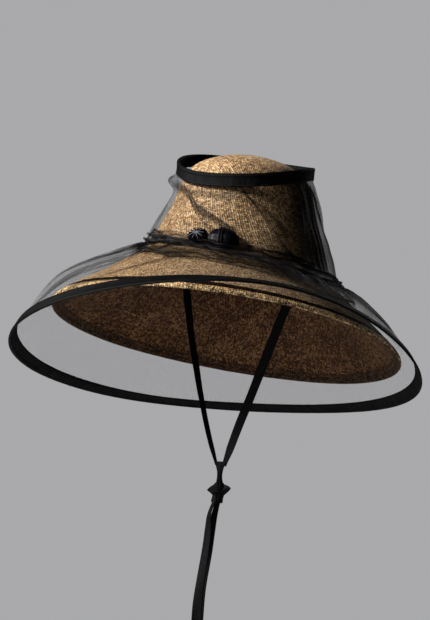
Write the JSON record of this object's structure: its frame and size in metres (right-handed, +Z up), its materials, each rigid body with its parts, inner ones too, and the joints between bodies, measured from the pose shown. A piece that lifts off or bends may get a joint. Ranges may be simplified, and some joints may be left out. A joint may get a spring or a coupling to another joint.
{
  "type": "veiled sun hat",
  "caption": "Wide-brimmed straw sun hat with a lift-off black tulle veil on two wire hoops, a gathered sash with a knot, and a chin tie.",
  "frame": {"origin": "middle of the head opening, where the crown is sewn to the brim", "axes": "+Z up along the crown; the wearer faces -Y; +X is the wearer's left"},
  "size_m": [0.4664, 0.5022, 0.5942],
  "materials": {
    "straw": "woven natural sisal straw",
    "straw_hem": "folded straw strip, stitched",
    "wire": "sprung steel wire, covered",
    "sweatband": "ribbed grosgrain",
    "ribbon": "black satin ribbon",
    "satin": "black satin bias binding",
    "tulle": "fine black tulle, see-through",
    "elastic": "black braided elastic",
    "tulle_gathered": "black tulle gathered in many layers",
    "satin_ornament": "glossy black satin, tied and pleated"
  },
  "bodies": {
    "hat": {"straw_crown": "straw", "straw_brim": "straw", "brim_hem": "straw_hem", "brim_wire": "wire", "sweatband": "sweatband", "tie_anchor_left": "ribbon", "tie_anchor_right": "ribbon"},
    "veil": {"top_ring_binding": "satin", "top_ring_wire": "wire", "veil_crown_net": "tulle", "crown_elastic": "elastic", "sash": "tulle_gathered", "sash_knot": "satin_ornament", "sash_rosette": "satin_ornament"},
    "veil_hem": {"hem_binding": "satin", "hem_wire": "wire", "veil_skirt_net": "tulle"},
    "chin_tie": {"tie_ribbon_left": "ribbon", "tie_ribbon_right": "ribbon", "tie_knot": "ribbon", "tie_loop_left": "ribbon", "tie_loop_right": "ribbon", "tie_tail_left": "ribbon", "tie_tail_right": "ribbon"}
  },
  "joints": [
    {"name": "veil_lift", "type": "slide", "parent": "hat", "child": "veil", "axis": [0, 0, 1], "range_m": [0, 0.22]},
    {"name": "hem_tilt", "type": "hinge", "parent": "veil", "child": "veil_hem", "pos_m": [-0.0131, 0.2416, -0.1411], "axis": [-1, 0, 0], "range_deg": [0, 25], "deforming": ["veil_skirt_net"]},
    {"name": "tie_swing", "type": "hinge", "parent": "hat", "child": "chin_tie", "pos_m": [0, 0.0075, -0.0065], "axis": [1, 0, 0], "range_deg": [-45, 50]}
  ]
}
